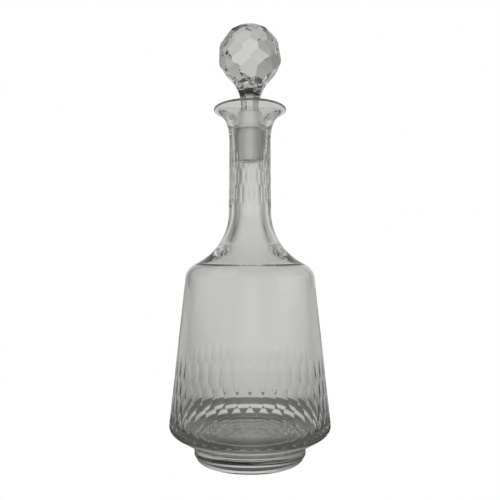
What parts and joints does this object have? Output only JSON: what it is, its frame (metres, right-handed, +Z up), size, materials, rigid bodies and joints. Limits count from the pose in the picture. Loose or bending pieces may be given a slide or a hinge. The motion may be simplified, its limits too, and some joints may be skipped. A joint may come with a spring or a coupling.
{
  "type": "decanter",
  "caption": "Clear cut crystal decanter: tapering body with a band of shallow pointed cuts, slender cut neck, flared lip, round applied foot and a solid faceted ball stopper.",
  "frame": {"origin": "on the axis, in the plane the foot's resting ring stands on", "axes": "+Z up along the axis of the vessel; X and Y lie in the resting plane"},
  "size_m": [0.1116, 0.1116, 0.3],
  "materials": {
    "vessel_crystal": "polished",
    "foot_crystal": "polished",
    "stopper_crystal": "polished, the peg ground"
  },
  "bodies": {
    "decanter": {"blown_vessel": "vessel_crystal", "applied_foot": "foot_crystal"},
    "stopper": {"stopper": "stopper_crystal"}
  },
  "joints": [
    {"name": "stopper_lift", "type": "slide", "parent": "decanter", "child": "stopper", "axis": [0, 0, 1], "range_m": [0, 0.05]}
  ]
}
